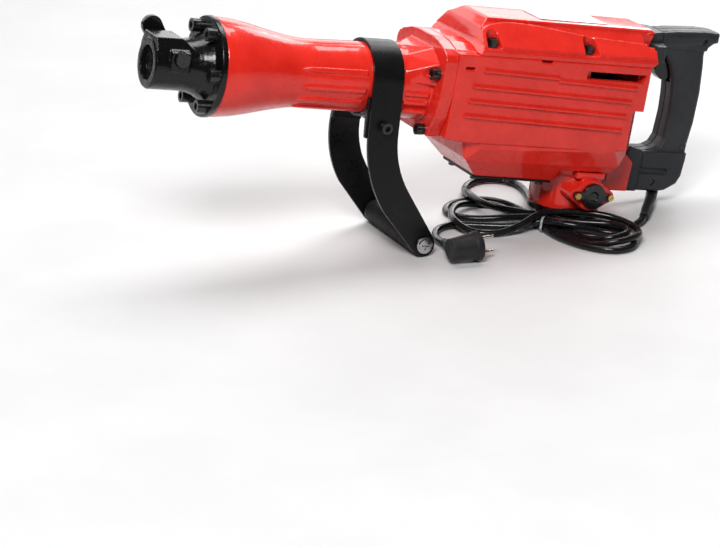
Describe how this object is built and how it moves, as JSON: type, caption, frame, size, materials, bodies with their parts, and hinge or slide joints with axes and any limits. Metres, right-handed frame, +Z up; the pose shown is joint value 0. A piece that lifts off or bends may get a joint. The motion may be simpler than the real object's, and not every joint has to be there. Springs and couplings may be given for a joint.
{
  "type": "electric jackhammer",
  "caption": "Electric demolition hammer standing nose-up on its side grip and motor foot: hex socket with turning retainer, crank drive, D-handle with trigger, tied mains cord and plug",
  "frame": {"origin": "centre of the footprint of the tool without its cord, on the surface it stands on", "axes": "+X runs from the nose end to the rear handle, +Y is across the tool, +Z is up; the barrel axis is tilted 10 degrees nose-up"},
  "size_m": [0.786, 0.3163, 0.3111],
  "materials": {
    "red_paint": "glossy sprayed paint on cast metal",
    "black_cast": "glossy black paint on cast metal",
    "black_bolt": "black oxide steel",
    "strap_black": "satin black painted strip",
    "grip_black": "knurled black grip sleeve",
    "chrome_screw": "plated steel",
    "steel": "machined steel",
    "plate_aluminium": "cast or sheet aluminium",
    "lamination_steel": "laminated steel with windings",
    "copper_brass": "brass",
    "carbon": "pressed carbon",
    "fan_plastic": "moulded plastic",
    "handle_plastic": "satin dark grey glass-filled nylon",
    "trigger_plastic": "glossy black moulding",
    "rubber_black": "moulded black rubber",
    "cord_rubber": "smooth black rubber",
    "pin_nickel": "nickel plated brass"
  },
  "bodies": {
    "tool_body": {"nose_cover": "black_cast", "nose_cover_bolts": "black_bolt", "tool_bush": "steel", "damper_ring": "rubber_black", "barrel_casing": "red_paint", "cylinder_liner": "steel", "ball_bearings": "steel", "crankcase": "red_paint", "bearing_plate": "plate_aluminium", "top_cover": "red_paint", "cover_bolts": "black_bolt", "barrel_bolts": "black_bolt", "stator": "lamination_steel", "motor_housing": "red_paint", "motor_foot": "black_cast", "brush_holders": "copper_brass", "brush_springs": "steel", "brush_caps": "trigger_plastic", "brush_cap_screws": "copper_brass", "bottom_cover": "black_cast", "bottom_bolts": "black_bolt", "handle_bracket": "red_paint", "handle_blocks": "handle_plastic", "handle_bolts": "black_bolt", "handle_left": "handle_plastic", "handle_right": "handle_plastic", "handle_screws": "black_bolt", "switch_body": "fan_plastic", "nameplate": "plate_aluminium", "strain_relief": "rubber_black", "cord_lead": "cord_rubber", "cord_hank": "cord_rubber", "cord_loop": "cord_rubber", "cord_tail": "cord_rubber", "plug_body": "cord_rubber", "plug_pins": "pin_nickel"},
    "side_handle": {"side_strap": "strap_black", "clamp_saddle": "black_cast", "clamp_bolt": "black_bolt", "side_grip": "grip_black", "grip_screws": "chrome_screw"},
    "retainer": {"retainer_shaft": "black_bolt", "retainer_lever": "black_cast"},
    "switch_trigger": {"trigger": "trigger_plastic"},
    "crank": {"crankshaft": "steel", "crank_gear": "steel"},
    "intermediate": {"intermediate_gear": "steel", "intermediate_shaft": "steel"},
    "armature": {"armature_shaft": "steel", "armature_core": "lamination_steel", "commutator": "copper_brass", "cooling_fan": "fan_plastic"},
    "piston_group": {"piston": "steel", "piston_pin": "steel"},
    "rod": {"connecting_rod": "steel", "crank_pin": "steel"},
    "free_striker": {"striker": "steel"},
    "bit_hammer": {"second_hammer": "steel"},
    "brush_a": {"brush_left": "carbon"},
    "brush_b": {"brush_right": "carbon"}
  },
  "joints": [
    {"name": "side_handle_swing", "type": "hinge", "parent": "tool_body", "child": "side_handle", "pos_m": [-0.09748, 0, 0.21288], "axis": [0.9848, 0, -0.1736], "continuous": true},
    {"name": "retainer_turn", "type": "hinge", "parent": "tool_body", "child": "retainer", "pos_m": [-0.35551, 0, 0.27157], "axis": [0, -1, 0], "range_deg": [0, 180]},
    {"name": "trigger_press", "type": "hinge", "parent": "tool_body", "child": "switch_trigger", "pos_m": [0.31729, 0, 0.20981], "axis": [0, -1, 0], "range_deg": [0, 9], "stiffness_Nm_per_rad": 0.6, "springref_deg": -8.59},
    {"name": "crank_turn", "type": "hinge", "parent": "tool_body", "child": "crank", "pos_m": [0.11253, 0, 0.17585], "axis": [0.1736, 0, 0.9848], "continuous": true},
    {"name": "intermediate_turn", "type": "hinge", "parent": "tool_body", "child": "intermediate", "pos_m": [0.16571, 0, 0.16647], "axis": [0.1736, 0, 0.9848], "continuous": true},
    {"name": "armature_turn", "type": "hinge", "parent": "tool_body", "child": "armature", "pos_m": [0.19895, 0, 0.16061], "axis": [0.1736, 0, 0.9848], "continuous": true},
    {"name": "piston_slide", "type": "slide", "parent": "tool_body", "child": "piston_group", "axis": [0.9848, 0, -0.1736], "range_m": [0, 0.042]},
    {"name": "rod_swing", "type": "hinge", "parent": "piston_group", "child": "rod", "pos_m": [-0.048, 0, 0.20415], "axis": [0.1736, 0, 0.9848], "range_deg": [-8.4, 8.4]},
    {"name": "striker_slide", "type": "slide", "parent": "tool_body", "child": "free_striker", "axis": [0.9848, 0, -0.1736], "range_m": [-0.036, 0]},
    {"name": "bit_hammer_slide", "type": "slide", "parent": "tool_body", "child": "bit_hammer", "axis": [0.9848, 0, -0.1736], "range_m": [-0.02, 0]},
    {"name": "brush_slide_a", "type": "slide", "parent": "tool_body", "child": "brush_a", "axis": [0, -1, 0], "range_m": [0, 0.004], "stiffness_N_per_m": 300, "springref_m": -0.01},
    {"name": "brush_slide_b", "type": "slide", "parent": "tool_body", "child": "brush_b", "axis": [0, 1, 0], "range_m": [0, 0.004], "stiffness_N_per_m": 300, "springref_m": -0.01}
  ],
  "couplings": [
    {"joint": "intermediate_turn", "follows": "crank_turn", "ratio": -3.5},
    {"joint": "armature_turn", "follows": "crank_turn", "ratio": 12.25}
  ]
}
